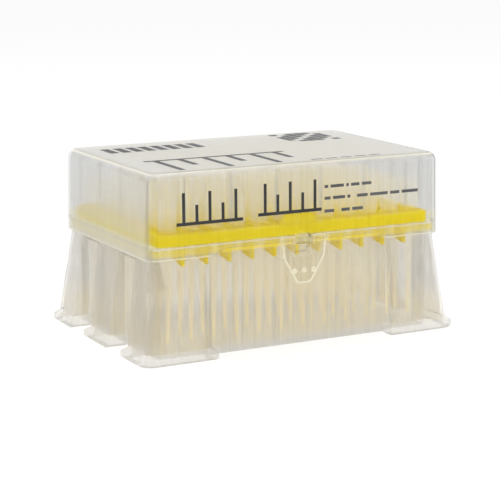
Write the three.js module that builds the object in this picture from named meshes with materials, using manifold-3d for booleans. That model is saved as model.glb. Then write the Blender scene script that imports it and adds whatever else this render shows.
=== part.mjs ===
// A hinged box of 96 filter pipette tips: a clear tub on splayed feet, a hinged clear lid with a
// front latch, and a coloured rack that holds twelve columns of eight tips.
// Millimetres. The origin is at the bottom centre, +X is along the length, -Y is the latch side
// and +Z is up.

import * as THREE from 'three';
import { mergeVertices } from 'three/addons/utils/BufferGeometryUtils.js';
import Module from 'manifold-3d';

const wasm = await Module();
wasm.setup();

// ---------------------------------------------------------------- driving dimensions

// Tip field
const PITCH = 9;
const COLUMNS = 12;
const ROWS = 8;
const LOOSE_ROWS = 4;          // the front rows are loose pieces, the others are joined to the rack

// Tip
const COLLAR_R = 3.25;
const COLLAR_ABOVE_RACK = 11.6;
const NECK_R = 2.5;
const TIP_BELOW_RACK = 38.7;
const TIP_END_R = 0.5;
const TIP_WALL = 0.6;
const TIP_END_BORE_R = 0.22;
const BORE_STEP_BELOW_RACK = 4;
const TIP_SIDES = 8;

// Fits
const SEAT_GAP = 0.3;          // between two pieces that rest on each other
const FIT_GAP = 0.35;          // around a piece that nests in another
const PIN_GAP = 0.3;           // around a hinge pin

// Rack
const RACK_END_MARGIN = 2.2;   // from the outer collars to the edge, along X
const RACK_SIDE_MARGIN = 1.58;
const RACK_PLATE = 1.8;
const RACK_EDGE_HEIGHT = 3.9;
const RACK_EDGE_WALL = 1.2;
const RACK_END_GAP = 2.42;     // free length between the rack and each end wall of the lid
const GUSSET_WIDTH = 1.2;
const GUSSET_BELOW_RIM = 7.1;
const GUSSET_RISE = 2.2;       // how much higher its foot is at the inner end
const GUSSET_REACH = 12.5;     // how far a gusset runs in under the plate
const TAB_HEIGHT = 3.9;
const TAB_WALL = 0.8;
const TAB_HALF_TOP = 4.8;
const TAB_HALF_FOOT = 8.2;

// Base
const RIM_Z = 39.5;
const RIM_HEIGHT = 5.5;
const BASE_WALL = 1.2;
const TUB_CORNER_R = 4;
const END_RECESS = 2.7;        // how far the tub's end walls lie inside the rim
const FLOOR_LIFT = 0.4;
const FLOOR_WALL = 1.8;

// Feet
const FLARE = 4.35;            // how far a foot leans out between the rim and the ground
const LIP = 1.7;
const LIP_HEIGHT = 2.4;
const LIP_SLOPE = 1.4;
const LIP_BEVEL = 0.5;
const FOOT_WALL = 1.2;
const FOOT_DRAFT = 1.5;        // how much narrower a foot is at the ground, on each free side
const FOOT_CORNER_R = 3.4;
const LONG_RECESS_HALF = 35.3; // half the gap between the two feet of a long side
const SHORT_RECESS_HALF = 23.5;
const MIDDLE_FOOT_HALF = 9.5;

// Lid
const LID_TOP = 65.6;
const SKIRT_DROP = 4;          // how far the skirt reaches down past the rim
const SKIRT_WALL = 0.9;
const SKIRT_BACK_STOP = 2.7;   // how far short of the back face the skirt ends
const LID_WALL = 1.2;
const LID_END_WALL = 1.65;     // thicker, so that the ends have a ledge that sits on the rim
const LID_DRAFT = 0.5;
const LID_CORNER_R = 4.2;
const LID_TOP_R = 3.2;
const NOTCH_HALF = 30;         // raised middle of the front skirt
const NOTCH_RISE = 2.3;
const NOTCH_SLOPE = 5.2;
const LID_RIB_PITCH = 2;       // in tip pitches
const LID_RIB_WIDTH = 0.8;
const LID_RIB_DEPTH = 0.9;
const LID_RIB_ABOVE_RACK = 3;

// Back hinge
const HINGE_X = 26;
const HINGE_OFFSET = 1.52;     // from the lid's back face to the axis
const HINGE_PIN_R = 0.65;
const BRACKET_HALF = 4;
const BRACKET_R = 1.2;
const BRACKET_DROP = 4.5;
const LUG_WIDTH = 2.5;
const LUG_WALL = 0.95;
const LUG_RISE = 5;

// Latch
const LATCH_WALL = 1.2;
const LATCH_HALF_TOP = 9;
const LATCH_HALF_SHOULDER = 8.4;
const LATCH_HALF_FOOT = 3.6;
const LATCH_SHOULDER_DROP = 5;
const LATCH_LENGTH = 14.5;
const LATCH_FOOT_ROUND = 1.2;
const LATCH_PIN_R = 0.55;
const LATCH_BARREL_R = 1.1;
const LATCH_SLOT_HALF = 3.5;
const LATCH_SLOT_DROP = 5.4;
const BOSS_HALF = 3.2;
const BOSS_RISE = 2.6;
const BOSS_WALL = 0.45;
const CATCH_HALF = 2.6;
const CATCH_HEIGHT = 3.2;
const CATCH_DEPTH = 1.05;
const DOT_R = 0.85;
const DOT_SPACING = 3.9;
const DOT_ABOVE_FOOT = 4.6;
const DOT_HEIGHT = 0.45;

// Faceting
const CORNER_STEPS = 4;
const ROUND_SIDES = 12;
const OVERCUT = 1;             // how far a cutter runs past the face that it opens
const BITE = 0.4;              // how far a joined piece runs into its carrier

// ---------------------------------------------------------------- derived dimensions

const fieldHalfX = (COLUMNS - 1) / 2 * PITCH;
const fieldHalfY = (ROWS - 1) / 2 * PITCH;

const rackHalfX = fieldHalfX + COLLAR_R + RACK_END_MARGIN;
const rackHalfY = fieldHalfY + COLLAR_R + RACK_SIDE_MARGIN;
const rackFootZ = RIM_Z + SEAT_GAP;
const rackTopZ = rackFootZ + RACK_EDGE_HEIGHT;
const tipSeatZ = rackTopZ + SEAT_GAP;
const tipTopZ = rackTopZ + COLLAR_ABOVE_RACK;
const tipEndZ = rackTopZ - TIP_BELOW_RACK;

const ledgeZ = RIM_Z + SEAT_GAP;
const skirtZ = RIM_Z - SKIRT_DROP;
const lidHeight = LID_TOP - skirtZ;
const draftAt = (z) => LID_DRAFT * (z - skirtZ) / lidHeight;
const lidHalfX = rackHalfX + RACK_END_GAP + LID_END_WALL + draftAt(ledgeZ);
const lidHalfY = rackHalfY + FIT_GAP + LID_WALL + draftAt(ledgeZ);

const rimHalfX = lidHalfX - SKIRT_WALL - FIT_GAP;
const rimHalfY = lidHalfY - SKIRT_WALL - FIT_GAP;
const rimFootZ = RIM_Z - RIM_HEIGHT;
const rimCornerR = LID_CORNER_R - SKIRT_WALL - FIT_GAP;
const flareTopZ = rimFootZ + OVERCUT / 2;
const tubHalfX = rimHalfX - END_RECESS;
const floorTopZ = FLOOR_LIFT + FLOOR_WALL;

const hingeY = lidHalfY - draftAt(ledgeZ) + HINGE_OFFSET;
const hingeZ = ledgeZ;

const notchZ = skirtZ + NOTCH_RISE;
const latchAxisZ = notchZ + LATCH_BARREL_R - FIT_GAP;
const latchAxisY = -(lidHalfY + FIT_GAP + LATCH_BARREL_R);
const latchBackY = -(rimHalfY + CATCH_DEPTH + SEAT_GAP);
const latchFaceY = latchBackY - LATCH_WALL;
const latchTopZ = notchZ - FIT_GAP;
const latchFootZ = latchTopZ - LATCH_LENGTH;

// ---------------------------------------------------------------- solids from three.js geometry

function solidOf(geometry) {
  geometry.deleteAttribute('normal');
  geometry.deleteAttribute('uv');
  const merged = mergeVertices(geometry, 1e-4);
  return new wasm.Manifold(new wasm.Mesh({
    numProp: 3,
    vertProperties: new Float32Array(merged.attributes.position.array),
    triVerts: new Uint32Array(merged.index.array),
  }));
}

function geometryOf(solid) {
  const mesh = solid.getMesh();
  const geometry = new THREE.BufferGeometry();
  geometry.setAttribute('position', new THREE.BufferAttribute(mesh.vertProperties, 3));
  geometry.setIndex(new THREE.BufferAttribute(mesh.triVerts, 1));
  geometry.computeVertexNormals();
  return geometry;
}

const joined = (solids) => solids.reduce((all, solid) => all.add(solid));

function box(x0, x1, y0, y1, z0, z1) {
  const geometry = new THREE.BoxGeometry(x1 - x0, y1 - y0, z1 - z0);
  geometry.translate((x0 + x1) / 2, (y0 + y1) / 2, (z0 + z1) / 2);
  return solidOf(geometry);
}

// A convex ring at height z through corners [x, y, radius], anticlockwise seen from above.
// A corner with no radius is one sharp point.
function ring(corners, z) {
  const area = corners.reduce((sum, [x, y], i) => {
    const [nextX, nextY] = corners[(i + 1) % corners.length];
    return sum + x * nextY - nextX * y;
  }, 0);
  const path = area > 0 ? corners : [...corners].reverse();
  const points = [];
  path.forEach(([x, y, radius], i) => {
    const corner = new THREE.Vector2(x, y);
    const before = path.at(i - 1);
    const after = path[(i + 1) % path.length];
    if (!radius) {
      points.push(new THREE.Vector3(x, y, z));
      return;
    }
    const arrive = new THREE.Vector2(x - before[0], y - before[1]).normalize();
    const leave = new THREE.Vector2(after[0] - x, after[1] - y).normalize();
    const turn = Math.acos(THREE.MathUtils.clamp(arrive.dot(leave), -1, 1));
    const start = corner.clone().addScaledVector(arrive, -radius * Math.tan(turn / 2));
    const centre = start.clone().add(new THREE.Vector2(-arrive.y, arrive.x).multiplyScalar(radius));
    for (let step = 0; step <= CORNER_STEPS; step += 1) {
      const point = start.clone().rotateAround(centre, turn * step / CORNER_STEPS);
      points.push(new THREE.Vector3(point.x, point.y, z));
    }
  });
  return points;
}

const roundedRing = (halfX, halfY, radius, z) => ring(
  [[halfX, halfY, radius], [-halfX, halfY, radius], [-halfX, -halfY, radius], [halfX, -halfY, radius]],
  z,
);

// The solid through a stack of convex rings with equal numbers of points, from the lowest up.
function loft(rings) {
  const count = rings[0].length;
  const triangles = [];
  for (let level = 0; level < rings.length - 1; level += 1) {
    for (let i = 0; i < count; i += 1) {
      const low = level * count + i;
      const lowNext = level * count + (i + 1) % count;
      triangles.push(low, lowNext, lowNext + count, low, lowNext + count, low + count);
    }
  }
  const top = (rings.length - 1) * count;
  for (let i = 1; i < count - 1; i += 1) {
    triangles.push(0, i + 1, i, top, top + i, top + i + 1);
  }
  const geometry = new THREE.BufferGeometry().setFromPoints(rings.flat());
  geometry.setIndex(triangles);
  return solidOf(geometry);
}

// A shape drawn in (Y, Z), extruded from x0 to x1.
function alongX(shape, x0, x1) {
  const geometry = new THREE.ExtrudeGeometry(
    shape,
    { depth: x1 - x0, bevelEnabled: false, curveSegments: ROUND_SIDES },
  );
  geometry.applyMatrix4(new THREE.Matrix4().makeBasis(
    new THREE.Vector3(0, 1, 0),
    new THREE.Vector3(0, 0, 1),
    new THREE.Vector3(1, 0, 0),
  ));
  geometry.translate(x0, 0, 0);
  return solidOf(geometry);
}

// A shape drawn in (X, Z), extruded from y0 to y1.
function alongY(shape, y0, y1) {
  const geometry = new THREE.ExtrudeGeometry(
    shape,
    { depth: y1 - y0, bevelEnabled: false, curveSegments: ROUND_SIDES },
  );
  geometry.rotateX(Math.PI / 2);
  geometry.translate(0, y1, 0);
  return solidOf(geometry);
}

const polygon = (points) => new THREE.Shape(points.map(([x, y]) => new THREE.Vector2(x, y)));

const disc = (x, y, radius) => new THREE.Shape().absarc(x, y, radius, 0, Math.PI * 2);

// A many-sided solid about +Z through [radius, z] points, from the axis back to the axis. The
// flats of its sides lie at the radius.
function lathe(points, sides, x = 0, y = 0) {
  const profile = points.map(([radius, z]) => new THREE.Vector2(radius / Math.cos(Math.PI / sides), z));
  const geometry = new THREE.LatheGeometry(profile, sides, Math.PI / sides);
  geometry.rotateX(Math.PI / 2);
  geometry.translate(x, y, 0);
  return solidOf(geometry);
}

// ---------------------------------------------------------------- tips

const boreTopR = COLLAR_R - TIP_WALL;
const boreNeckR = NECK_R - TIP_WALL;
const boreStepZ = rackTopZ - BORE_STEP_BELOW_RACK;

const tipX = (column) => column * PITCH - fieldHalfX;
const tipY = (row) => row * PITCH - fieldHalfY;

const tipOutside = (seatZ, x, y) => lathe([
  [0, tipEndZ],
  [TIP_END_R, tipEndZ],
  [NECK_R, seatZ],
  [COLLAR_R, seatZ],
  [COLLAR_R, tipTopZ],
  [0, tipTopZ],
], TIP_SIDES, x, y);

const tipBore = (x, y) => lathe([
  [0, tipEndZ - OVERCUT],
  [TIP_END_BORE_R, tipEndZ - OVERCUT],
  [TIP_END_BORE_R, tipEndZ],
  [boreNeckR, boreStepZ],
  [boreTopR, tipTopZ],
  [boreTopR, tipTopZ + OVERCUT],
  [0, tipTopZ + OVERCUT],
], TIP_SIDES, x, y);

const buildTip = (x, y) => tipOutside(tipSeatZ, x, y).subtract(tipBore(x, y));

// ---------------------------------------------------------------- rack

function buildRack() {
  const cornerR = LID_CORNER_R - LID_WALL;
  const edge = loft([
    roundedRing(rackHalfX, rackHalfY, cornerR, rackFootZ),
    roundedRing(rackHalfX, rackHalfY, cornerR, rackTopZ),
  ]);
  const under = loft([
    roundedRing(rackHalfX - RACK_EDGE_WALL, rackHalfY - RACK_EDGE_WALL, cornerR - RACK_EDGE_WALL, 0),
    roundedRing(
      rackHalfX - RACK_EDGE_WALL,
      rackHalfY - RACK_EDGE_WALL,
      cornerR - RACK_EDGE_WALL,
      rackTopZ - RACK_PLATE,
    ),
  ]);
  const gussets = [];
  const gussetHalfY = rimHalfY - BASE_WALL - FIT_GAP;
  const gussetInnerY = gussetHalfY - GUSSET_REACH;
  const gussetTopZ = rackTopZ - RACK_PLATE + BITE;
  const gussetFootZ = RIM_Z - GUSSET_BELOW_RIM;
  for (let gap = 1; gap < COLUMNS; gap += 1) {
    const x = tipX(gap) - PITCH / 2;
    for (const side of [-1, 1]) {
      gussets.push(alongX(
        polygon([
          [side * gussetHalfY, gussetTopZ],
          [side * gussetHalfY, gussetFootZ],
          [side * gussetInnerY, gussetFootZ + GUSSET_RISE],
          [side * gussetInnerY, gussetTopZ],
        ]),
        x - GUSSET_WIDTH / 2,
        x + GUSSET_WIDTH / 2,
      ));
    }
  }
  const tabBackY = -(fieldHalfY + COLLAR_R + SEAT_GAP);
  const tab = alongY(polygon([
    [-TAB_HALF_FOOT, rackTopZ - BITE],
    [TAB_HALF_FOOT, rackTopZ - BITE],
    [TAB_HALF_TOP, rackTopZ + TAB_HEIGHT],
    [-TAB_HALF_TOP, rackTopZ + TAB_HEIGHT],
  ]), tabBackY - TAB_WALL, tabBackY);

  let rack = joined([edge.subtract(under), ...gussets, tab]);
  const holes = [];
  const fixedTips = [];
  const fixedBores = [];
  for (let column = 0; column < COLUMNS; column += 1) {
    for (let row = 0; row < ROWS; row += 1) {
      const x = tipX(column);
      const y = tipY(row);
      if (row < LOOSE_ROWS) {
        holes.push(lathe([
          [0, rackTopZ - RACK_PLATE - OVERCUT],
          [NECK_R + SEAT_GAP, rackTopZ - RACK_PLATE - OVERCUT],
          [NECK_R + SEAT_GAP, rackTopZ + OVERCUT],
          [0, rackTopZ + OVERCUT],
        ], TIP_SIDES, x, y));
      } else {
        fixedTips.push(tipOutside(rackTopZ - BITE, x, y));
        fixedBores.push(tipBore(x, y));
      }
    }
  }
  if (holes.length) {
    rack = rack.subtract(joined(holes));
  }
  if (fixedTips.length) {
    rack = rack.add(joined(fixedTips)).subtract(joined(fixedBores));
  }
  return rack;
}

// ---------------------------------------------------------------- base

const flareAt = (z) => FLARE * (1 - z / flareTopZ);
const footDraftAt = (z) => FOOT_DRAFT * (1 - z / rimFootZ);

// A foot from the ground to just inside the rim, with its lip. The plan gives the foot's
// corners at a height, grown outwards by an amount.
function footBlock(plan) {
  return loft([
    ring(plan(0, LIP - LIP_BEVEL), 0),
    ring(plan(0, LIP), LIP_BEVEL),
    ring(plan(0, LIP), LIP_HEIGHT),
    ring(plan(LIP_HEIGHT + LIP_SLOPE, 0), LIP_HEIGHT + LIP_SLOPE),
    ring(plan(rimFootZ + OVERCUT, 0), rimFootZ + OVERCUT),
  ]);
}

function footHollow(plan) {
  const hollowTopZ = RIM_Z - BASE_WALL;
  return loft([
    ring(plan(0, -FOOT_WALL), -OVERCUT),
    ring(plan(0, -FOOT_WALL), 0),
    ring(plan(rimFootZ, -FOOT_WALL), rimFootZ),
    ring(plan(rimFootZ, -FOOT_WALL), hollowTopZ),
  ]);
}

const cornerFootPlan = (sideX, sideY) => (z, grow) => {
  const innerX = LONG_RECESS_HALF + footDraftAt(z) - grow;
  const innerY = SHORT_RECESS_HALF + footDraftAt(z) - grow;
  const outerX = rimHalfX + flareAt(z) + grow;
  const outerY = rimHalfY + flareAt(z) + grow;
  return [
    [sideX * innerX, sideY * innerY, 0],
    [sideX * outerX, sideY * innerY, 0],
    [sideX * outerX, sideY * outerY, FOOT_CORNER_R + grow],
    [sideX * innerX, sideY * outerY, 0],
  ];
};

const middleFootPlan = (sideX) => (z, grow) => {
  const halfY = MIDDLE_FOOT_HALF - footDraftAt(z) + grow;
  const outerX = rimHalfX + flareAt(z) + grow;
  const innerX = tubHalfX - BASE_WALL / 2;
  return [
    [sideX * innerX, -halfY, 0],
    [sideX * outerX, -halfY, 0],
    [sideX * outerX, halfY, 0],
    [sideX * innerX, halfY, 0],
  ];
};

// One of the two back hinge brackets, with a pin on each side.
function hingeBracket(centreX) {
  const arm = alongX(polygon([
    [rimHalfY - BITE, RIM_Z - BRACKET_DROP],
    [hingeY + BRACKET_R * Math.SQRT1_2, hingeZ - BRACKET_R * Math.SQRT1_2],
    [hingeY, hingeZ],
    [rimHalfY + FIT_GAP, RIM_Z - SEAT_GAP],
    [rimHalfY - BITE, RIM_Z - SEAT_GAP],
  ]), centreX - BRACKET_HALF, centreX + BRACKET_HALF);
  const barrel = alongX(disc(hingeY, hingeZ, BRACKET_R), centreX - BRACKET_HALF, centreX + BRACKET_HALF);
  const pinHalf = BRACKET_HALF + SEAT_GAP + LUG_WIDTH;
  const pin = alongX(disc(hingeY, hingeZ, HINGE_PIN_R), centreX - pinHalf, centreX + pinHalf);
  return joined([arm, barrel, pin]);
}

function buildBase() {
  const tubRing = (z) => roundedRing(tubHalfX, rimHalfY, TUB_CORNER_R, z);
  const tub = loft([tubRing(0), tubRing(RIM_Z)]);
  const rim = loft([
    roundedRing(rimHalfX, rimHalfY, rimCornerR, rimFootZ),
    roundedRing(rimHalfX, rimHalfY, rimCornerR, RIM_Z),
  ]);
  const channelRing = (z) => roundedRing(
    rimHalfX - BASE_WALL,
    rimHalfY - BASE_WALL,
    rimCornerR - BASE_WALL,
    z,
  );
  const rimChannel = loft([channelRing(rimFootZ - OVERCUT), channelRing(RIM_Z - BASE_WALL)]);
  const cavityRing = (z) => roundedRing(
    tubHalfX - BASE_WALL,
    rimHalfY - BASE_WALL,
    TUB_CORNER_R - BASE_WALL,
    z,
  );
  const cavity = loft([cavityRing(floorTopZ), cavityRing(RIM_Z + OVERCUT)]);
  const underFloor = loft([tubRing(-OVERCUT), tubRing(FLOOR_LIFT)]);

  const plans = [-1, 1].flatMap((sideX) => [
    cornerFootPlan(sideX, -1),
    middleFootPlan(sideX),
    cornerFootPlan(sideX, 1),
  ]);
  const hollows = joined([rimChannel, ...plans.map(footHollow)]).subtract(tub);

  const catchDepthY = -(rimHalfY + CATCH_DEPTH);
  const catchTopZ = latchTopZ - SEAT_GAP;
  const latchCatch = alongX(polygon([
    [-rimHalfY + BITE, catchTopZ],
    [catchDepthY, catchTopZ - CATCH_HEIGHT / 2],
    [catchDepthY, catchTopZ - CATCH_HEIGHT],
    [-rimHalfY + BITE, catchTopZ - CATCH_HEIGHT],
  ]), -CATCH_HALF, CATCH_HALF);

  return joined([tub, rim, ...plans.map(footBlock)])
    .subtract(hollows)
    .add(joined([latchCatch, hingeBracket(-HINGE_X), hingeBracket(HINGE_X)]))
    .subtract(cavity)
    .subtract(underFloor);
}

// ---------------------------------------------------------------- lid

// Rings of the lid's outside, or of a surface set in from it by wallX and wallY.
function lidRings(fromZ, wallX, wallY, wallTop) {
  const topZ = LID_TOP - wallTop;
  const cornerR = LID_CORNER_R - wallY;
  const roundR = LID_TOP_R - wallTop;
  const ringAt = (z, inset) => roundedRing(
    lidHalfX - draftAt(z) - wallX - inset,
    lidHalfY - draftAt(z) - wallY - inset,
    cornerR - inset,
    z,
  );
  const rings = [ringAt(fromZ, 0)];
  for (let step = 0; step <= CORNER_STEPS; step += 1) {
    const angle = Math.PI / 2 * step / CORNER_STEPS;
    rings.push(ringAt(topZ - roundR + roundR * Math.sin(angle), roundR * (1 - Math.cos(angle))));
  }
  return rings;
}

// One of the two ears of a back hinge, from its ring up the lid's back face.
function hingeLug(x0, x1) {
  const earR = HINGE_PIN_R + PIN_GAP + LUG_WALL;
  const backY = lidHalfY - draftAt(ledgeZ + LUG_RISE) - BITE;
  const ear = alongX(disc(hingeY, hingeZ, earR), x0, x1);
  const arm = alongX(polygon([
    [backY, hingeZ + BITE],
    [hingeY + earR * Math.SQRT1_2, hingeZ + earR * Math.SQRT1_2],
    [backY, ledgeZ + LUG_RISE],
  ]), x0, x1);
  const hole = alongX(disc(hingeY, hingeZ, HINGE_PIN_R + PIN_GAP), x0 - OVERCUT, x1 + OVERCUT);
  return ear.add(arm).subtract(hole);
}

// The domed boss on the lid's front face that carries the latch's pins.
function latchBoss() {
  const frontY = latchAxisY - LATCH_PIN_R - PIN_GAP - BOSS_WALL;
  const footZ = latchAxisZ - LATCH_PIN_R - PIN_GAP - BOSS_WALL;
  const shape = new THREE.Shape();
  shape.moveTo(-BOSS_HALF, footZ);
  shape.lineTo(BOSS_HALF, footZ);
  shape.lineTo(BOSS_HALF, latchAxisZ);
  shape.absellipse(0, latchAxisZ, BOSS_HALF, BOSS_RISE, 0, Math.PI);
  shape.closePath();
  const dome = alongY(shape, frontY, -lidHalfY + LID_DRAFT);
  const holeHalf = BOSS_HALF + OVERCUT;
  return dome.subtract(alongX(disc(latchAxisY, latchAxisZ, LATCH_PIN_R + PIN_GAP), -holeHalf, holeHalf));
}

function buildLid() {
  const outside = loft(lidRings(skirtZ, 0, 0, 0));
  const inside = loft(lidRings(ledgeZ - OVERCUT, LID_END_WALL, LID_WALL, LID_WALL));
  const skirtRing = (z) => roundedRing(
    rimHalfX + FIT_GAP,
    rimHalfY + FIT_GAP,
    rimCornerR + FIT_GAP,
    z,
  );
  const skirtBackY = lidHalfY - SKIRT_BACK_STOP;
  const skirtInside = loft([skirtRing(skirtZ - OVERCUT), skirtRing(ledgeZ)]).add(box(
    -rimHalfX - FIT_GAP,
    rimHalfX + FIT_GAP,
    0,
    skirtBackY,
    skirtZ - OVERCUT,
    ledgeZ,
  ));

  const notch = alongY(polygon([
    [-NOTCH_HALF - NOTCH_SLOPE, skirtZ - OVERCUT],
    [NOTCH_HALF + NOTCH_SLOPE, skirtZ - OVERCUT],
    [NOTCH_HALF + NOTCH_SLOPE, skirtZ],
    [NOTCH_HALF, notchZ],
    [-NOTCH_HALF, notchZ],
    [-NOTCH_HALF - NOTCH_SLOPE, skirtZ],
  ]), -lidHalfY - OVERCUT, -lidHalfY + LID_CORNER_R);

  // There is no skirt across the back, and its sides are straight inside up to there, so that
  // it can swing over the rim.
  const backCut = box(
    -lidHalfX - OVERCUT,
    lidHalfX + OVERCUT,
    skirtBackY,
    lidHalfY + OVERCUT,
    skirtZ - OVERCUT,
    ledgeZ,
  );

  const ribs = [];
  const ribFootZ = rackTopZ + LID_RIB_ABOVE_RACK;
  const ribInnerX = lidHalfX - LID_DRAFT - LID_END_WALL - LID_RIB_DEPTH;
  const ribInnerY = lidHalfY - LID_DRAFT - LID_WALL - LID_RIB_DEPTH;
  const halfRib = LID_RIB_WIDTH / 2;
  for (let gap = 1; gap < COLUMNS; gap += LID_RIB_PITCH) {
    const x = tipX(gap) - PITCH / 2;
    const rib = (y0, y1) => box(x - halfRib, x + halfRib, y0, y1, ribFootZ, LID_TOP);
    ribs.push(rib(-lidHalfY, -ribInnerY), rib(ribInnerY, lidHalfY));
  }
  for (let gap = 1; gap < ROWS; gap += LID_RIB_PITCH) {
    const y = tipY(gap) - PITCH / 2;
    const rib = (x0, x1) => box(x0, x1, y - halfRib, y + halfRib, ribFootZ, LID_TOP);
    ribs.push(rib(-lidHalfX, -ribInnerX), rib(ribInnerX, lidHalfX));
  }
  const withinWalls = loft(lidRings(ribFootZ, LID_WALL / 2, LID_WALL / 2, LID_WALL / 2));

  const lugs = [-HINGE_X, HINGE_X].flatMap((x) => [
    hingeLug(x - BRACKET_HALF - SEAT_GAP - LUG_WIDTH, x - BRACKET_HALF - SEAT_GAP),
    hingeLug(x + BRACKET_HALF + SEAT_GAP, x + BRACKET_HALF + SEAT_GAP + LUG_WIDTH),
  ]);

  return outside
    .subtract(inside)
    .subtract(skirtInside)
    .subtract(notch)
    .subtract(backCut)
    .add(joined(ribs).intersect(withinWalls))
    .add(joined([...lugs, latchBoss()]));
}

// ---------------------------------------------------------------- latch

function buildLatch() {
  const slotFootZ = latchTopZ - LATCH_SLOT_DROP;
  const flap = loft([
    [latchFootZ, LATCH_HALF_FOOT - LATCH_FOOT_ROUND],
    [latchFootZ + LATCH_FOOT_ROUND, LATCH_HALF_FOOT],
    [latchTopZ - LATCH_SHOULDER_DROP, LATCH_HALF_SHOULDER],
    [latchTopZ, LATCH_HALF_TOP],
  ].map(([z, half]) => [
    new THREE.Vector3(-half, latchFaceY, z),
    new THREE.Vector3(half, latchFaceY, z),
    new THREE.Vector3(half, latchBackY, z),
    new THREE.Vector3(-half, latchBackY, z),
  ]));
  const slot = box(
    -LATCH_SLOT_HALF,
    LATCH_SLOT_HALF,
    latchFaceY - OVERCUT,
    latchBackY + OVERCUT,
    slotFootZ,
    latchTopZ + OVERCUT,
  );
  const neck = (x0, x1) => box(
    x0,
    x1,
    latchFaceY,
    latchAxisY + LATCH_BARREL_R,
    latchTopZ - BITE,
    latchAxisZ,
  );
  const barrel = (x0, x1) => alongX(disc(latchAxisY, latchAxisZ, LATCH_BARREL_R), x0, x1);
  const pin = (x0, x1) => alongX(disc(latchAxisY, latchAxisZ, LATCH_PIN_R), x0, x1);
  const pinEndX = SEAT_GAP;
  const dots = [-1, 0, 1].map((place) => alongY(
    disc(place * DOT_SPACING, latchFootZ + DOT_ABOVE_FOOT, DOT_R),
    latchFaceY - DOT_HEIGHT,
    latchFaceY + BITE,
  ));
  return joined([
    flap.subtract(slot),
    neck(-LATCH_HALF_TOP, -LATCH_SLOT_HALF),
    neck(LATCH_SLOT_HALF, LATCH_HALF_TOP),
    barrel(-LATCH_HALF_TOP, -LATCH_SLOT_HALF),
    barrel(LATCH_SLOT_HALF, LATCH_HALF_TOP),
    pin(-LATCH_SLOT_HALF - BITE, -pinEndX),
    pin(pinEndX, LATCH_SLOT_HALF + BITE),
    ...dots,
  ]);
}

// ---------------------------------------------------------------- the assembly

const clearPlastic = new THREE.MeshStandardMaterial({
  color: 0xdcd9d2,
  roughness: 0.45,
  metalness: 0,
  transparent: true,
  opacity: 0.45,
});
const yellowPlastic = new THREE.MeshStandardMaterial({ color: 0xe6c800, roughness: 0.5, metalness: 0 });
const tipPlastic = new THREE.MeshStandardMaterial({
  color: 0xece6d6,
  roughness: 0.4,
  metalness: 0,
  transparent: true,
  opacity: 0.7,
});

const group = new THREE.Group();

function addPiece(name, solid, material) {
  const mesh = new THREE.Mesh(geometryOf(solid), material.clone());
  mesh.name = name;
  group.add(mesh);
  return mesh;
}

addPiece('base', buildBase(), clearPlastic);
addPiece('lid', buildLid(), clearPlastic);
addPiece('latch', buildLatch(), clearPlastic);
addPiece('rack', buildRack(), yellowPlastic);

const looseTip = buildTip(0, 0);
for (let row = 0; row < Math.min(LOOSE_ROWS, ROWS); row += 1) {
  for (let column = 0; column < COLUMNS; column += 1) {
    const tip = addPiece(`tip_row${row + 1}_col${column + 1}`, looseTip, tipPlastic);
    tip.position.set(tipX(column), tipY(row), 0);
  }
}

export default group;
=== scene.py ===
# Looks for the hinged box of filter pipette tips: frosted natural polypropylene, a yellow rack,
# clear tips with white filters, and plain printed marks. Metres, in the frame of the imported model.

import math

import bmesh
import bpy
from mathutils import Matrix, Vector


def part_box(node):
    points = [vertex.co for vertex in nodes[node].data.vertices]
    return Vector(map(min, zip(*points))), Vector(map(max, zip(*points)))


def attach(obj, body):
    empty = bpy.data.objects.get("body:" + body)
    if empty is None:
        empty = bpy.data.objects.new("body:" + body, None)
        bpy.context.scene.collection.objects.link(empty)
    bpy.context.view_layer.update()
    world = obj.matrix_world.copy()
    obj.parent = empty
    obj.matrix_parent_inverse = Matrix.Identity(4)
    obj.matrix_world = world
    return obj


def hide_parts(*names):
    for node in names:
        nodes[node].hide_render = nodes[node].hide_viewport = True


MM = 0.001
COLUMNS, ROWS = 12, 8

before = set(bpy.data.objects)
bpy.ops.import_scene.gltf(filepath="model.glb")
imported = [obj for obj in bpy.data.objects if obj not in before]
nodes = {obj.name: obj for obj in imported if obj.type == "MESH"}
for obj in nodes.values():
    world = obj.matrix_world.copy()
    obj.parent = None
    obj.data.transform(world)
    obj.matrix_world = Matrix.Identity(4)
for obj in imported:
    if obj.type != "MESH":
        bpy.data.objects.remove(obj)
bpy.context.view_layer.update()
scene = bpy.context.scene


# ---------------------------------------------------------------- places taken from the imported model

def middle(low, high):
    return (low + high) / 2


first_low, first_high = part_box("tip_row1_col1")
next_low, next_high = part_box("tip_row1_col2")
PITCH = middle(next_low, next_high).x - middle(first_low, first_high).x
TIP_X = [middle(first_low, first_high).x + PITCH * column for column in range(COLUMNS)]
TIP_Y = [middle(first_low, first_high).y + PITCH * row for row in range(ROWS)]
TIP_END_Z, TIP_TOP_Z = first_low.z, first_high.z

rack_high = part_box("rack")[1]
lid_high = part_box("lid")[1]
base_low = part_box("base")[0]
latch_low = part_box("latch")[0]

RIM_Z = 39.5 * MM
TUB_HALF_Y = 36.7 * MM
RACK_TOP_Z = 43.7 * MM
RACK_FOOT_Z = 39.8 * MM
RACK_HALF_X, RACK_HALF_Y = rack_high.x, rack_high.y


# ---------------------------------------------------------------- materials

def material(name):
    made = bpy.data.materials.new(name)
    made.use_nodes = True
    made.node_tree.nodes.clear()
    return made


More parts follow.
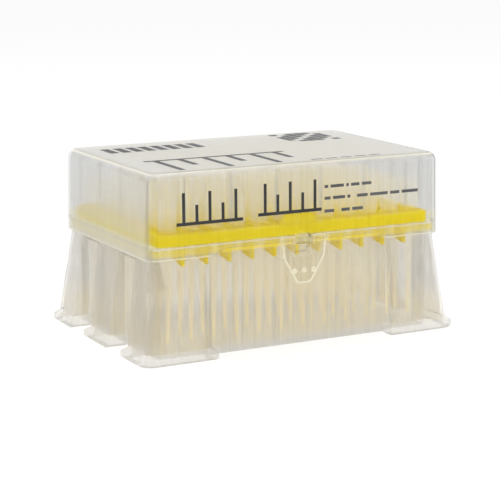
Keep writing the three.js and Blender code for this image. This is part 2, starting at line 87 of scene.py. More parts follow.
class Nodes:
    """Short names for adding and linking shader nodes."""

    def __init__(self, made):
        self.tree = made.node_tree

    def add(self, kind, **values):
        node = self.tree.nodes.new(kind)
        for key, value in values.items():
            setattr(node, key, value)
        return node

    def put(self, value, target):
        """Links a socket to the target, or sets a number or a colour on it."""
        if isinstance(value, bpy.types.NodeSocket):
            self.tree.links.new(value, target)
        elif isinstance(value, tuple):
            target.default_value = (*value, 1)
        else:
            target.default_value = value

    def shader(self, kind, **values):
        node = self.add("ShaderNodeBsdf" + kind)
        for key, value in values.items():
            self.put(value, node.inputs[key])
        return node.outputs[0]

    def mixed(self, share, first, second):
        """Two shaders, the second one to a share."""
        node = self.add("ShaderNodeMixShader")
        for value, target in zip((share, first, second), node.inputs):
            self.put(value, target)
        return node.outputs[0]

    def maths(self, operation, *values):
        node = self.add("ShaderNodeMath", operation=operation)
        for value, target in zip(values, node.inputs):
            self.put(value, target)
        return node.outputs[0]

    def parts(self, source):
        node = self.add("ShaderNodeSeparateXYZ")
        self.put(source, node.inputs[0])
        return node.outputs

    def place(self):
        """The X, Y and Z of a point in the object's own frame."""
        return self.parts(self.add("ShaderNodeTexCoord").outputs["Object"])

    def noise(self, scale, detail=3.0, stretch=(1, 1, 1)):
        mapping = self.add("ShaderNodeMapping")
        mapping.inputs["Scale"].default_value = stretch
        self.put(self.add("ShaderNodeTexCoord").outputs["Object"], mapping.inputs["Vector"])
        texture = self.add("ShaderNodeTexNoise")
        self.put(scale, texture.inputs["Scale"])
        self.put(detail, texture.inputs["Detail"])
        self.put(mapping.outputs["Vector"], texture.inputs["Vector"])
        return texture.outputs["Fac"]

    def span(self, source, low, high, from_low=0.3, from_high=0.7):
        """The source's span from from_low to from_high, laid from low to high and held there."""
        node = self.add("ShaderNodeMapRange")
        for value, key in zip(
            (source, from_low, from_high, low, high),
            ("Value", "From Min", "From Max", "To Min", "To Max"),
        ):
            self.put(value, node.inputs[key])
        return node.outputs["Result"]

    def two_colours(self, source, first, second):
        node = self.add("ShaderNodeMix", data_type="RGBA")
        for value, target in zip((source, first, second), (0, 6, 7)):
            self.put(value, node.inputs[target])
        return node.outputs[2]

    def bump(self, source, strength, distance=0.0001):
        node = self.add("ShaderNodeBump")
        self.put(strength, node.inputs["Strength"])
        self.put(distance, node.inputs["Distance"])
        self.put(source, node.inputs["Height"])
        return node.outputs["Normal"]

    def finish(self, surface):
        self.put(surface, self.add("ShaderNodeOutputMaterial").inputs["Surface"])


def darker(colour, share):
    return tuple(share * c for c in colour)


def facing(n):
    """0 where a wall is seen square on, 1 where it is seen edge on."""
    node = n.add("ShaderNodeLayerWeight")
    n.put(0.5, node.inputs["Blend"])
    return node.outputs["Facing"]


LET_IN = (0.998, 0.998, 0.995)


def let_light_in(n, surface):
    """Lamps and soft light cross the wall straight, so that what is inside is lit as well."""
    path = n.add("ShaderNodeLightPath")
    straight = n.shader("Transparent", Color=LET_IN)
    for ray in ("Is Diffuse Ray", "Is Shadow Ray"):
        surface = n.mixed(path.outputs[ray], surface, straight)
    return surface


def with_gloss(n, wall, lean, least, colour, roughness, normal):
    """The wall mirrors very little square on and much at a grazing view, alike from both sides."""
    amount = n.maths("MULTIPLY_ADD", n.maths("POWER", lean, 5.0), 0.8, least)
    shine = n.shader("Glossy", Color=colour, Roughness=roughness, Normal=normal)
    return n.mixed(amount, wall, shine)


def scattering(n, normal, colour):
    """Light scattered by a cloudy wall: half of it back, the rest on through."""
    back = n.shader("Diffuse", Color=colour, Normal=normal)
    return n.mixed(0.5, back, n.shader("Translucent", Color=colour))


def left_clear(n, place, surface, from_x, near_y, far_y, below_z):
    """The surface, fully clear beyond from_x, from near_y to far_y and below below_z."""
    sharp, soft = 0.05 * MM, 0.8 * MM
    level = n.span(place["Z"], 1, 0, below_z, below_z + soft)
    for axis, low, high in (("X", from_x, 1.0), ("Y", near_y, far_y)):
        size = n.maths("ABSOLUTE", place[axis])
        for ends in ((low - sharp, low), (high + sharp, high)):
            level = n.maths("MULTIPLY", level, n.span(size, 0, 1, *ends))
    return n.mixed(level, surface, n.shader("Transparent"))


PLAIN_BEND = 1.03    # how strongly the haze of a wall bends light
HAZE_ROUGHNESS = 0.32


def clear_wall(
    name, tint, milk, share, lean_share, end_share=0.0, roughness=0.15,
    haze=0.0, streaks=0.0, painted_light_zones=(), end_bend=PLAIN_BEND, buried=None,
):
    """Natural polypropylene. Most light goes straight on with a tint, and a share of it scatters
    in the colour milk: a little where the wall is seen square on, lean_share more where it leans
    away, and end_share more in the ends, whose faces are matt. haze is how much of what goes on is
    spread softly, end_bend how strongly the ends bend it, and streaks how much the share varies in
    fine upright lines. Each zone paints light or shade into the wall: it is a colour, a span of
    heights, how fast it fades at both ends, how much more the wall scatters there in that colour,
    and how much of it is left in the ends. buried is the part that stands inside the feet and is
    drawn fully clear: beyond x, between two distances from the middle in y, and below z."""
    made = material(name)
    n = Nodes(made)
    cloud = n.noise(60, 4, (1, 1, 0.15))
    normal = n.bump(n.noise(900, 2), 0.12)
    lines = n.noise(800, 3, (1, 1, 0.012))
    fine = n.noise(1150, 2, (1, 1, 0.01))
    sideways = n.parts(n.add("ShaderNodeNewGeometry").outputs["True Normal"])["X"]
    end = n.maths("ABSOLUTE", sideways)
    lighter = tuple(min(c * 1.03, 0.99) for c in tint)
    lined = n.two_colours(n.span(fine, 0, 1, 0.38, 0.62), lighter, darker(tint, 0.97))
    onward = n.shader("Transparent", Color=lined)
    if haze:
        bend = n.span(end, PLAIN_BEND, end_bend, 0.5, 0.95)
        spread = n.shader(
            "Refraction", Color=lined, Roughness=HAZE_ROUGHNESS, IOR=bend, Normal=normal,
        )
        onward = n.mixed(haze, onward, spread)

    lean = facing(n)
    drawn = n.maths(
        "ADD", n.span(cloud, share - 0.01, share + 0.01), n.span(lines, 0, streaks, 0.45, 0.72),
    )
    leaning = n.maths("ADD", drawn, n.span(lean, 0, lean_share, 0.15, 1.0))
    amount = n.maths("ADD", leaning, n.span(end, 0, end_share, 0.97, 0.995))
    colour = n.two_colours(cloud, milk, darker(milk, 0.97))
    place = n.place()
    # Painted light and shade: each zone lays its colour and extra scatter over a band of heights.
    for painted_colour, low, high, fade, more, at_ends in painted_light_zones:
        inside = n.maths(
            "MULTIPLY", n.span(place["Z"], 0, 1, low - fade, low),
            n.span(place["Z"], 1, 0, high, high + fade),
        )
        level = n.maths("MULTIPLY", inside, n.span(end, 1, at_ends, 0.5, 0.95))
        colour = n.two_colours(level, colour, painted_colour)
        amount = n.maths("MULTIPLY_ADD", level, more, amount)

    wall = n.mixed(amount, onward, scattering(n, normal, colour))
    surface = with_gloss(n, wall, lean, 0.006, (0.95, 0.95, 0.95), roughness, normal)
    if buried:
        surface = left_clear(n, place, surface, *buried)
    n.finish(let_light_in(n, surface))
    return made


def thin_clear(
    name, tint, low_tint, milk, share, roughness, grain,
    end_z, end_more, end_colour, near_z, plate_glow_colour,
):
    """A thin clear tube wall: most light goes straight on, a share scatters in the colour milk, and
    it shines at its edges. Towards the height end_z the tint turns to low_tint, and the share grows
    by end_more and takes end_colour. From near_z up, over about two millimetres, the glow and the
    reflection of the yellow plate that the tubes stand on are painted in, in scatter and gloss."""
    made = material(name)
    n = Nodes(made)
    cloud = n.noise(120, 3)
    normal = n.bump(n.noise(grain, 2), 0.1)
    lean = facing(n)
    place = n.place()
    near_end = n.span(place["Z"], 1, 0, end_z, end_z + 22 * MM)
    low_down = n.span(place["Z"], 1, 0, end_z + 8 * MM, end_z + 34 * MM)
    onward = n.shader("Transparent", Color=n.two_colours(low_down, tint, low_tint))
    plain = n.maths(
        "ADD", n.span(cloud, share - 0.02, share + 0.02), n.span(lean, 0, 0.45, 0.4, 1.0),
    )
    amount = n.maths("MULTIPLY_ADD", near_end, end_more, plain)
    # Painted glow of the yellow plate: the tube walls just above it take its colour.
    painted_plate_glow = n.maths(
        "MULTIPLY", n.span(place["Z"], 0, 1, near_z - 0.5 * MM, near_z),
        n.span(place["Z"], 1, 0, near_z + 0.4 * MM, near_z + 2.2 * MM),
    )
    colour = n.two_colours(painted_plate_glow, n.two_colours(near_end, milk, end_colour), plate_glow_colour)
    wall = n.mixed(amount, onward, scattering(n, normal, colour))
    # The gloss there is painted yellow too, as a painted reflection of the plate.
    mirrored = n.two_colours(painted_plate_glow, (0.9, 0.9, 0.9), plate_glow_colour)
    n.finish(let_light_in(n, with_gloss(n, wall, lean, 0.005, mirrored, roughness, normal)))
    return made


def solid_plastic(name, tint, shade, roughness, grain, translucency=0.0):
    """A plastic that hides what is behind it and lets a share of the light glow through."""
    made = material(name)
    n = Nodes(made)
    cloud = n.noise(80, 4)
    fine = n.noise(grain, 2)
    body = n.add("ShaderNodeBsdfPrincipled")
    for key, value in (
        ("Base Color", n.two_colours(n.span(cloud, 0, 1), tint, shade)),
        ("Roughness", n.span(fine, roughness - 0.05, roughness + 0.08)),
        ("IOR", 1.49),
        ("Specular IOR Level", 0.25),
        ("Normal", n.bump(fine, 0.15)),
    ):
        n.put(value, body.inputs[key])
    surface = body.outputs[0]
    if translucency:
        surface = n.mixed(translucency, surface, n.shader("Translucent", Color=tint))
    n.finish(surface)
    return made


# Zones, which paint light and shade into the wall: colour, from and to which height, how fast it
# fades, more scattering, left in the ends.
LID = clear_wall(
    "lid_plastic", tint=(0.908, 0.909, 0.909), milk=(0.70, 0.71, 0.73),
    share=0.008, lean_share=0.11, end_share=0.22, roughness=0.25,
    haze=0.85, streaks=0.09, end_bend=1.12,
    painted_light_zones=(
        # Top face: more scatter, in a grey milk that is painted shade on the lid's top.
        ((0.58, 0.575, 0.56), 65.1 * MM, 70.0 * MM, 0.25 * MM, 0.60, 1.0),
        # A thin bright band along the rounded top edge: a painted highlight.
        ((0.95, 0.94, 0.90), 64.6 * MM, 65.1 * MM, 0.15 * MM, 0.35, 0.3),
        # In front of the rack the wall's scatter takes the rack's yellow: painted glow of the rack.
        ((0.90, 0.82, 0.07), 40.2 * MM, 43.4 * MM, 0.3 * MM, 0.02, 0.2),
        # Over the base's rim: a pale yellow painted glow of the rack.
        ((0.93, 0.86, 0.60), 36.2 * MM, 38.9 * MM, 0.4 * MM, 0.04, 0.5),
        # Along the skirt's lower edge: a bright cream band, a painted highlight.
        ((0.95, 0.92, 0.76), 35.0 * MM, 35.8 * MM, 0.2 * MM, 0.40, 0.6),
    ),
)
BASE = clear_wall(
    "base_plastic", tint=(0.893, 0.885, 0.868), milk=(0.71, 0.70, 0.68),
    share=0.012, lean_share=0.14, end_share=0.02, roughness=0.2, haze=0.75, streaks=0.17,
    painted_light_zones=(
        # Below the rack's edge: a strong yellow painted glow of the rack in the base's rim.
        ((0.95, 0.80, 0.10), 36.8 * MM, 38.8 * MM, 1.0 * MM, 0.40, 0.5),
        # Along the rim's top: a bright cream band, a painted highlight.
        ((0.95, 0.92, 0.76), 39.1 * MM, 40.0 * MM, 0.2 * MM, 0.45, 0.6),
        # Low on the tub: an amber tint, painted warm light reflected from the tips' ends.
        ((0.92, 0.80, 0.52), 4.0 * MM, 9.0 * MM, 9.0 * MM, 0.05, 0.3),
        # Bottom edge and foot lips: a little more milky scatter, painted light that lifts their shade.
        ((0.80, 0.78, 0.74), base_low.z, 2.6 * MM, 1.5 * MM, 0.06, 1.0),
    ),
    buried=(37.4 * MM, TUB_HALF_Y - 1.3 * MM, TUB_HALF_Y + 0.03 * MM, 24.4 * MM),
)
LATCH = clear_wall(
    "latch_plastic", (0.95, 0.94, 0.90), (0.85, 0.83, 0.74), 0.08, 0.3,
    end_share=0.1, roughness=0.12,
)
# Rounded edges of base, lid and latch: much more milky scatter, a painted highlight along them.
BASE_EDGE_HIGHLIGHT = clear_wall("edge_painted_highlight", (0.94, 0.94, 0.92), (0.86, 0.85, 0.79), 0.22, 0.2)
LID_EDGE_HIGHLIGHT = clear_wall("lid_edge_painted_highlight", (0.94, 0.94, 0.91), (0.92, 0.90, 0.78), 0.45, 0.2)
LATCH_EDGE_HIGHLIGHT = clear_wall("latch_edge_painted_highlight", (0.95, 0.95, 0.93), (0.86, 0.82, 0.68), 0.60, 0.2)
TIP = thin_clear(
    "tip_plastic", tint=(1.0, 0.997, 0.986), low_tint=(1.0, 0.988, 0.957),
    milk=(0.88, 0.85, 0.77), share=0.12, roughness=0.15, grain=2500,
    end_z=TIP_END_Z, end_more=0.30, end_colour=(0.95, 0.82, 0.50),
    # The plate's yellow, painted on the tips just above it as its glow and reflection.
    near_z=RACK_TOP_Z - 0.2 * MM, plate_glow_colour=(0.93, 0.78, 0.08),
)
YELLOW = solid_plastic("yellow_plastic", (0.90, 0.775, 0.001), (0.86, 0.73, 0.001), 0.45, 1200, 0.4)
FILTER = solid_plastic("filter_white", (0.90, 0.89, 0.86), (0.78, 0.77, 0.74), 0.85, 4000)
PRINT_GREY = solid_plastic("print_grey", (0.07, 0.07, 0.075), (0.11, 0.11, 0.115), 0.6, 3000)
PRINT = solid_plastic("print_black", (0.018, 0.018, 0.018), (0.035, 0.035, 0.035), 0.5, 3000)


# ---------------------------------------------------------------- helpers for pieces

def smooth_by_angle(obj, degrees):
    """Smooth shading, with a sharp edge wherever faces meet at more than the angle."""
    mesh = obj.data
    mesh.polygons.foreach_set("use_smooth", [True] * len(mesh.polygons))
    work = bmesh.new()
    work.from_mesh(mesh)
    limit = math.radians(degrees)
    for edge in work.edges:
        edge.smooth = len(edge.link_faces) == 2 and edge.calc_face_angle(0) < limit
    work.to_mesh(mesh)
    work.free()


def new_object(name, work, used, body="box"):
    """The bmesh as a piece of that name, with its material, riding on a body."""
    bmesh.ops.remove_doubles(work, verts=work.verts, dist=1e-7)
    bmesh.ops.recalc_face_normals(work, faces=work.faces)
    mesh = bpy.data.meshes.new(name)
    work.to_mesh(mesh)
    work.free()
    mesh.materials.append(used)
    obj = bpy.data.objects.new(name, mesh)
    scene.collection.objects.link(obj)
    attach(obj, body)
    return obj


def turns(count):
    return [2 * math.pi * i / count for i in range(count)]


def circle(x, y, radius, z, sides):
    return [(x + radius * math.cos(turn), y + radius * math.sin(turn), z) for turn in turns(sides)]


def band(work, low, high):
    """Faces between two closed rings of vertices."""
    for i in range(len(low)):
        j = (i + 1) % len(low)
        work.faces.new((low[i], low[j], high[j], high[i]))


def loft(work, rings, close_first=True, close_last=True):
    """Faces between closed rings with equal numbers of points, and over the ends."""
    made = [[work.verts.new(point) for point in ring] for ring in rings]
    for low, high in zip(made, made[1:]):
        band(work, low, high)
    if close_first:
        work.faces.new(list(reversed(made[0])))
    if close_last:
        work.faces.new(made[-1])
    return made


def closed_loft(work, rings):
    """A loft whose last ring is joined to its first, like the wall of a tube."""
    made = loft(work, rings, close_first=False, close_last=False)
    band(work, made[-1], made[0])


def prism(work, outline, offset):
    """The solid between an outline and the same outline moved by an offset."""
    offset = Vector(offset)
    low = [work.verts.new(point) for point in outline]
    high = [work.verts.new(Vector(point) + offset) for point in outline]
    work.faces.new(low)
    work.faces.new(list(reversed(high)))
    band(work, high, low)


def cut(obj, cutter_work):
    """Takes the cutter's solids out of the object."""
    bmesh.ops.recalc_face_normals(cutter_work, faces=cutter_work.faces)
    mesh = bpy.data.meshes.new("cutter")
    cutter_work.to_mesh(mesh)
    cutter_work.free()
    tool = bpy.data.objects.new("cutter", mesh)
    scene.collection.objects.link(tool)
    modifier = obj.modifiers.new("cut", "BOOLEAN")
    modifier.operation = "DIFFERENCE"
    modifier.solver = "EXACT"
    modifier.object = tool
    graph = bpy.context.evaluated_depsgraph_get()
    result = bpy.data.meshes.new_from_object(obj.evaluated_get(graph))
    obj.modifiers.clear()
    old = obj.data
    obj.data = result
    bpy.data.meshes.remove(old)
    bpy.data.objects.remove(tool)
    bpy.data.meshes.remove(mesh)


def rounded_ring(half_x, half_y, radius, z, steps=8):
    """A level ring of points: a rectangle round the middle with rounded corners."""
    points = []
    for corner in range(4):
        sign_x = 1 if corner in (0, 3) else -1
        sign_y = 1 if corner < 2 else -1
        centre = Vector((sign_x * (half_x - radius), sign_y * (half_y - radius), z))
        for step in range(steps + 1):
            angle = math.pi / 2 * (corner + step / steps)
            points.append(centre + Vector((math.cos(angle), math.sin(angle), 0)) * radius)
    return points


def soft_edges(obj, width, degrees=40):
    bevel = obj.modifiers.new("soft_edges", "BEVEL")
    bevel.width = width
    bevel.segments = 2
    bevel.limit_method = "ANGLE"
    bevel.angle_limit = math.radians(degrees)
    return bevel


def dressed(node, width, used, edge_highlight):
    """A CAD node with its flat faces joined, and its material; its rounded edges take the second
    material, a painted highlight.
    """
    obj = nodes[node]
    obj.data.materials.clear()
    obj.data.materials.append(used)
    obj.data.materials.append(edge_highlight)
    weld = obj.modifiers.new("weld", "WELD")
    weld.merge_threshold = 1e-6
    flat = obj.modifiers.new("flat", "DECIMATE")
    flat.decimate_type = "DISSOLVE"
    flat.angle_limit = math.radians(0.4)
    bevel = soft_edges(obj, width)
    bevel.harden_normals = False
    # The bevels take the second material, whose milky scatter is a painted highlight.
    bevel.material = 1
    obj.data.polygons.foreach_set("use_smooth", [True] * len(obj.data.polygons))
    normals = obj.modifiers.new("normals", "WEIGHTED_NORMAL")
    normals.keep_sharp = True
    return obj


# ---------------------------------------------------------------- base, lid and latch

dressed("base", 0.22 * MM, BASE, BASE_EDGE_HIGHLIGHT)
dressed("lid", 0.22 * MM, LID, LID_EDGE_HIGHLIGHT)
dressed("latch", 0.3 * MM, LATCH, LATCH_EDGE_HIGHLIGHT)


# ---------------------------------------------------------------- tips

# Radius and height above the tip's end in mm: outside from the end up, inside back down.
TIP_OUTSIDE = [
    (0.40, 0), (0.46, 0.12), (0.62, 5), (0.86, 11), (1.12, 16.6), (1.34, 17.4), (1.95, 29),
    (2.42, 38.2), (2.50, 38.95), (3.05, 39.0), (3.12, 39.3),
]
TIP_COLLAR = [(3.12, 41.0), (3.14, 49.0)]
TIP_RIM = [(3.22, 49.2), (3.24, 50.0), (3.16, 50.26)]
TIP_INSIDE = [
    (2.82, 50.28), (2.70, 49.9), (2.52, 46), (2.36, 39), (1.86, 33), (1.52, 27.4), (0.84, 17.2),
    (0.60, 11), (0.40, 5), (0.26, 0.05),
]
TIP_SIDES = 24
TIP_SCALE = (TIP_TOP_Z - TIP_END_Z) / MM / 50.3
RIB_EVERY, RIB_RISE = 3, 0.10
FILTER_LOW_Z, FILTER_HIGH_Z = TIP_END_Z + 31.0 * MM, TIP_END_Z + 36.4 * MM
FILTER_LOW_R, FILTER_HIGH_R, FILTER_BEVEL = 1.66 * MM, 2.05 * MM, 0.15 * MM
FILTER_SIDES = 16


def tip_rings(x, y):
    rings = []
    for group, rib in ((TIP_OUTSIDE, 0), (TIP_COLLAR, RIB_RISE), (TIP_RIM, 0), (TIP_INSIDE, 0)):
        for radius, height in group:
            z = TIP_END_Z + height * MM * TIP_SCALE
            ring = []
            for i, turn in enumerate(turns(TIP_SIDES)):
                r = (radius + (0 if i % RIB_EVERY else rib)) * MM
                ring.append((x + r * math.cos(turn), y + r * math.sin(turn), z))
            rings.append(ring)
    return rings


def add_filter(work, x, y):
    loft(work, [
        circle(x, y, radius, z, FILTER_SIDES)
        for radius, z in (
            (FILTER_LOW_R - FILTER_BEVEL, FILTER_LOW_Z),
            (FILTER_LOW_R, FILTER_LOW_Z + FILTER_BEVEL),
            (FILTER_HIGH_R, FILTER_HIGH_Z - FILTER_BEVEL),
            (FILTER_HIGH_R - FILTER_BEVEL, FILTER_HIGH_Z),
        )
    ])


for row in range(ROWS):
    work = bmesh.new()
    filter_work = bmesh.new()
    for x in TIP_X:
        closed_loft(work, tip_rings(x, TIP_Y[row]))
        add_filter(filter_work, x, TIP_Y[row])
    tips = new_object("tips_row%d" % (row + 1), work, TIP)
    smooth_by_angle(tips, 35)
    own = ["tip_row%d_col%d" % (row + 1, column + 1) for column in range(COLUMNS)]
    if own[0] in nodes:
        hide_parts(*own)
    filters = new_object("filters_row%d" % (row + 1), filter_work, FILTER)
    smooth_by_angle(filters, 35)


# ---------------------------------------------------------------- latch's border and grip dots

latch_face = latch_low.y + 0.45 * MM
latch_foot = latch_low.z
LATCH_TOP = 37.45 * MM
BORDER_WIDTH, BORDER_RISE = 0.75 * MM, 0.12 * MM
BORDER_LEFT = [
    (-2.4 * MM, latch_foot), (-3.6 * MM, latch_foot + 1.2 * MM),
    (-8.4 * MM, LATCH_TOP - 5 * MM), (-8.95 * MM, LATCH_TOP),
]
BORDER_RIGHT = [(-x, z) for x, z in reversed(BORDER_LEFT)]
DOT_PITCH, DOT_HEIGHT, DOT_SIDES = 3.9, 4.6, 20
DOT_RINGS = ((1.0, 0.0), (0.95, 0.2), (0.7, 0.38), (0.35, 0.44))    # radius and rise in mm


def border(work, path):
    """A raised band along a path of points (x, z) on the latch's face."""
    for (xa, za), (xb, zb) in zip(path, path[1:]):
        along = Vector((xb - xa, zb - za)).normalized()
        side = Vector((along.y, -along.x)) * BORDER_WIDTH
        corners = [(xa, za), (xb, zb), (xb + side.x, zb + side.y), (xa + side.x, za + side.y)]
        prism(work, [(x, latch_face, z) for x, z in corners], (0, -BORDER_RISE, 0))


def dot_ring(place, radius, rise):
    return [
        (
            (place * DOT_PITCH + radius * math.cos(turn)) * MM,
            latch_face - rise * MM,
            latch_foot + (DOT_HEIGHT + radius * math.sin(turn)) * MM,
        )
        for turn in turns(DOT_SIDES)
    ]


work = bmesh.new()
border(work, BORDER_LEFT)
border(work, BORDER_RIGHT)
border(work, [BORDER_RIGHT[-1], BORDER_LEFT[0]])
for place in (-1, 0, 1):
    loft(work, [dot_ring(place, radius, rise) for radius, rise in DOT_RINGS])
# The border and the dots take the latch's edge material, so they are drawn bright with a painted
# highlight.
trim = new_object("latch_trim", work, LATCH_EDGE_HIGHLIGHT, "latch")


# ---------------------------------------------------------------- rack

EDGE_WALL, INNER_RADIUS = 1.2 * MM, 1.8 * MM
PLATE = 1.8 * MM
PLATE_FOOT_Z = RACK_TOP_Z - PLATE
HOLE_R, HOLE_SIDES = 2.78 * MM, 24
CUP_R, CUP_BORE_R, CUP_HEIGHT = 4.15 * MM, 3.62 * MM, 0.35 * MM
CUP_FOOT_Z, CUP_TOP_Z = RACK_TOP_Z - 0.1 * MM, RACK_TOP_Z + CUP_HEIGHT
GUSSET_WIDTH, GUSSET_REACH = 1.2 * MM, 12.5 * MM
GUSSET_FOOT_Z, GUSSET_RISE = RIM_Z - 7.1 * MM, 2.2 * MM
GUSSET_HALF_Y = RACK_HALF_Y - 1.2 * MM
GUSSET_TOP_Z = PLATE_FOOT_Z + 0.2 * MM
# How far in from the rack's side, how high, and with what corner radius its outside runs.
RACK_OUTSIDE = [
    (0.0, RACK_FOOT_Z, 2.9 * MM),
    (0.0, RACK_TOP_Z - 0.35 * MM, 2.9 * MM),
    (0.1 * MM, RACK_TOP_Z - 0.1 * MM, 2.8 * MM),
    (0.35 * MM, RACK_TOP_Z, 2.6 * MM),
]
# The right half of the tab's outline, x and height above the rack's top in mm.
TAB_RIGHT = [(8.2, -0.3), (5.3, 3.6), (4.6, 3.9)]
TAB_THICKNESS = 0.8 * MM
TAB_BACK_Y = TIP_Y[0] - 3.55 * MM


def rack_ring(inset, z, radius):
    return rounded_ring(RACK_HALF_X - inset, RACK_HALF_Y - inset, radius, z)


work = bmesh.new()
outside = loft(work, [rack_ring(*level) for level in RACK_OUTSIDE], close_first=False)
inside = loft(
    work, [rack_ring(EDGE_WALL, z, INNER_RADIUS) for z in (PLATE_FOOT_Z, RACK_FOOT_Z)],
    close_last=False,
)
band(work, inside[1], outside[0])
rack = new_object("rack_moulding", work, YELLOW)
holes = bmesh.new()
for x in TIP_X:
    for y in TIP_Y:
        loft(holes, [
            circle(x, y, HOLE_R, z, HOLE_SIDES) for z in (PLATE_FOOT_Z - MM, RACK_TOP_Z + MM)
        ])
cut(rack, holes)
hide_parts("rack")

# Cups round the holes, gussets under the plate and the tab at the front.
work = bmesh.new()
for x in TIP_X:
    for y in TIP_Y:
        closed_loft(work, [
            circle(x, y, radius, z, HOLE_SIDES)
            for radius, z in (
                (CUP_BORE_R, CUP_FOOT_Z),
                (CUP_R, CUP_FOOT_Z),
                (CUP_R - 0.05 * MM, CUP_TOP_Z - 0.12 * MM),
                (CUP_R - 0.15 * MM, CUP_TOP_Z),
                (CUP_BORE_R + 0.1 * MM, CUP_TOP_Z),
                (CUP_BORE_R, CUP_TOP_Z - 0.1 * MM),
            )
        ])
cups = new_object("rack_cups", work, YELLOW)
smooth_by_angle(cups, 40)

work = bmesh.new()
for left, right in zip(TIP_X, TIP_X[1:]):
    x = middle(left, right) - GUSSET_WIDTH / 2
    for side in (-1, 1):
        near, far = side * (GUSSET_HALF_Y - GUSSET_REACH), side * GUSSET_HALF_Y
        prism(work, [
            (x, far, GUSSET_TOP_Z), (x, far, GUSSET_FOOT_Z),
            (x, near, GUSSET_FOOT_Z + GUSSET_RISE), (x, near, GUSSET_TOP_Z),
        ], (GUSSET_WIDTH, 0, 0))
gussets = new_object("rack_gussets", work, YELLOW)

work = bmesh.new()
outline = TAB_RIGHT + [(-x, z) for x, z in reversed(TAB_RIGHT)]
prism(
    work, [(x * MM, TAB_BACK_Y, RACK_TOP_Z + z * MM) for x, z in outline], (0, -TAB_THICKNESS, 0),
)
tab = new_object("rack_tab", work, YELLOW)
for obj in (rack, gussets, tab):
    soft_edges(obj, 0.12 * MM)


# ---------------------------------------------------------------- printed marks on the lid

INK = 0.02 * MM
SKIRT_Z = 35.5 * MM
FRONT_LEAN = 0.5 / 30.1
# The lid's front face at the skirt's edge: past the rack, the gap, the wall and the draft.
LID_FRONT_Y = -(RACK_HALF_Y + 0.35 * MM + 1.2 * MM + 4.3 * MM * FRONT_LEAN)

# All marks in mm. Two combs of upright bars on a base bar, with teeth of two heights.
STROKE = 1.15
COMBS = (
    (((-46.5, 58.4), (-41.5, 54.0), (-36.5, 58.4), (-31.5, 54.0), (-26.5, 58.4)),
     48.2, (-48.7, -23.2)),
    (((-15.0, 59.2), (-10.0, 55.0), (-5.0, 59.2), (0.0, 55.0), (5.0, 59.2)),
     49.0, (-17.2, 8.3)),
)
DASH_HEIGHT = 1.1
DASH_ROWS = (
    (55.8, ((9.5, 11.0), (12.0, 17.5), (18.5, 19.5), (20.5, 24.0), (25.0, 29.0))),
    (51.6, ((9.5, 12.0), (13.0, 18.0), (19.0, 20.2), (23.0, 27.5), (28.5, 36.0), (37.0, 41.0),
            (42.0, 49.0))),
    (47.0, ((9.5, 13.5), (16.5, 20.0), (21.0, 25.5))),
)


def front_bar(work, x0, x1, z0, z1):
    """A printed bar on the lid's front, which leans in a little towards the top."""
    corners = [
        (x * MM, LID_FRONT_Y + (z * MM - SKIRT_Z) * FRONT_LEAN, z * MM)
        for x, z in ((x0, z0), (x1, z0), (x1, z1), (x0, z1))
    ]
    prism(work, corners, (0, -INK, 0))


def top_bar(work, x, y, width, depth):
    """A printed bar on the lid's top, from its corner at x and y."""
    corners = [
        (a * MM, b * MM, lid_high.z)
        for a, b in ((x, y), (x + width, y), (x + width, y + depth), (x, y + depth))
    ]
    prism(work, corners, (0, 0, INK))


work = bmesh.new()
for teeth, low, (start, end) in COMBS:
    for x, high in teeth:
        front_bar(work, x, x + STROKE, low, high)
    front_bar(work, start, end, low - STROKE, low)
new_object("marks_front", work, PRINT, "lid")

work = bmesh.new()
for low, dashes in DASH_ROWS:
    for start, end in dashes:
        front_bar(work, start, end, low, low + DASH_HEIGHT)
new_object("marks_small", work, PRINT_GREY, "lid")

# On top: a comb, a row of blocks, a row of short dashes and a grid of blocks with gaps.
work = bmesh.new()
for step in range(6):
    depth = 13 if step % 2 else 22
    top_bar(work, -45 + 9.5 * step, -11 - depth, 2.4, depth)
top_bar(work, -48, -11, 55.9, 2)
for x in range(-50, -14, 5):
    top_bar(work, x, 14, 3.4, 11)
for x in range(7, 36, 6):
    top_bar(work, x, -33.2, 4.5, 1)
for row in range(6):
    for column in range(6):
        if (row * 5 + column * 3) % 4:
            top_bar(work, 24 + 3.6 * column, 10 + 3.6 * row, 3.2, 3.2)
new_object("marks_top", work, PRINT_GREY, "lid")


# ---------------------------------------------------------------- camera, floor and light

PHOTO_PX, FOCAL_PX = 500, 1672.4
SENSOR = 36
YAW, PITCH_DOWN = math.radians(28.05), math.radians(11.516)
camera_data = bpy.data.cameras.new("camera")
camera_data.sensor_width = SENSOR
camera_data.lens = FOCAL_PX * SENSOR / PHOTO_PX
camera_data.clip_start = 0.01
camera_data.clip_end = 50
camera = bpy.data.objects.new("camera", camera_data)
scene.collection.objects.link(camera)
level = math.cos(PITCH_DOWN)
forward = Vector((math.sin(YAW) * level, math.cos(YAW) * level, -math.sin(PITCH_DOWN)))
camera.location = (-0.288631, -0.541037, 0.152547)
camera.rotation_mode = "QUATERNION"
camera.rotation_quaternion = forward.to_track_quat("-Z", "Y")
scene.camera = camera

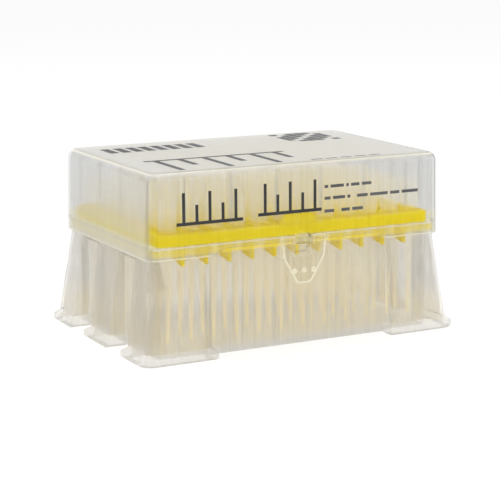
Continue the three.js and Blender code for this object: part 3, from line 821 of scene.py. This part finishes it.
FLOOR_HALF, FLOOR_DROP = 6, 0.2 * MM
FLOOR_PAINT, FLOOR_GLOW = (0.22, 0.22, 0.22), 0.78
work = bmesh.new()
bmesh.ops.create_grid(work, x_segments=1, y_segments=1, size=FLOOR_HALF)
mesh = bpy.data.meshes.new("floor")
work.to_mesh(mesh)
work.free()
floor = bpy.data.objects.new("floor", mesh)
floor.location.z = -FLOOR_DROP
scene.collection.objects.link(floor)
floor_paint = material("floor_white")
n = Nodes(floor_paint)
glow = n.add("ShaderNodeEmission")
n.put((1, 1, 1), glow.inputs["Color"])
n.put(FLOOR_GLOW, glow.inputs["Strength"])
both = n.add("ShaderNodeAddShader")
n.put(n.shader("Diffuse", Color=FLOOR_PAINT), both.inputs[0])
n.put(glow.outputs[0], both.inputs[1])
n.finish(both.outputs[0])
mesh.materials.append(floor_paint)

# The sky is white where it is seen, through a wall or mirrored too, and lights a little less.
SKY_LIGHT, SKY_SEEN = 0.80, 1.0
world = bpy.data.worlds.new("studio")
scene.world = world
world.use_nodes = True
world.node_tree.nodes.clear()
n = Nodes(world)
path = n.add("ShaderNodeLightPath").outputs
seen = n.maths("MAXIMUM", path["Is Camera Ray"], path["Is Transmission Ray"])
seen = n.maths("MAXIMUM", seen, path["Is Glossy Ray"])
sky = n.add("ShaderNodeBackground")
n.put((1, 1, 1), sky.inputs["Color"])
n.put(n.span(seen, SKY_LIGHT, SKY_SEEN, 0, 1), sky.inputs["Strength"])
n.put(sky.outputs[0], n.add("ShaderNodeOutputWorld").inputs["Surface"])


def softbox(name, place, aim, size, power):
    """A rectangular lamp that points from its place at the aim."""
    data = bpy.data.lights.new(name, "AREA")
    data.shape = "RECTANGLE"
    data.size, data.size_y = size
    data.energy = power
    obj = bpy.data.objects.new(name, data)
    scene.collection.objects.link(obj)
    obj.location = place
    obj.rotation_mode = "QUATERNION"
    obj.rotation_quaternion = (Vector(aim) - Vector(place)).to_track_quat("-Z", "Y")


softbox("top_light", (0.0, 0.15, 1.1), (0, 0, 0.03), (1.2, 0.9), 6.0)
softbox("left_light", (-0.9, -0.7, 0.55), (0, 0, 0.04), (0.7, 0.7), 0.5)
softbox("front_light", (0.3, -1.3, 0.45), (0, 0, 0.04), (1.2, 0.8), 5.7)

scene.view_settings.view_transform = "Standard"
scene.cycles.max_bounces = 48
scene.cycles.transmission_bounces = 48
scene.cycles.diffuse_bounces = 6
scene.cycles.glossy_bounces = 8
scene.cycles.transparent_max_bounces = 200
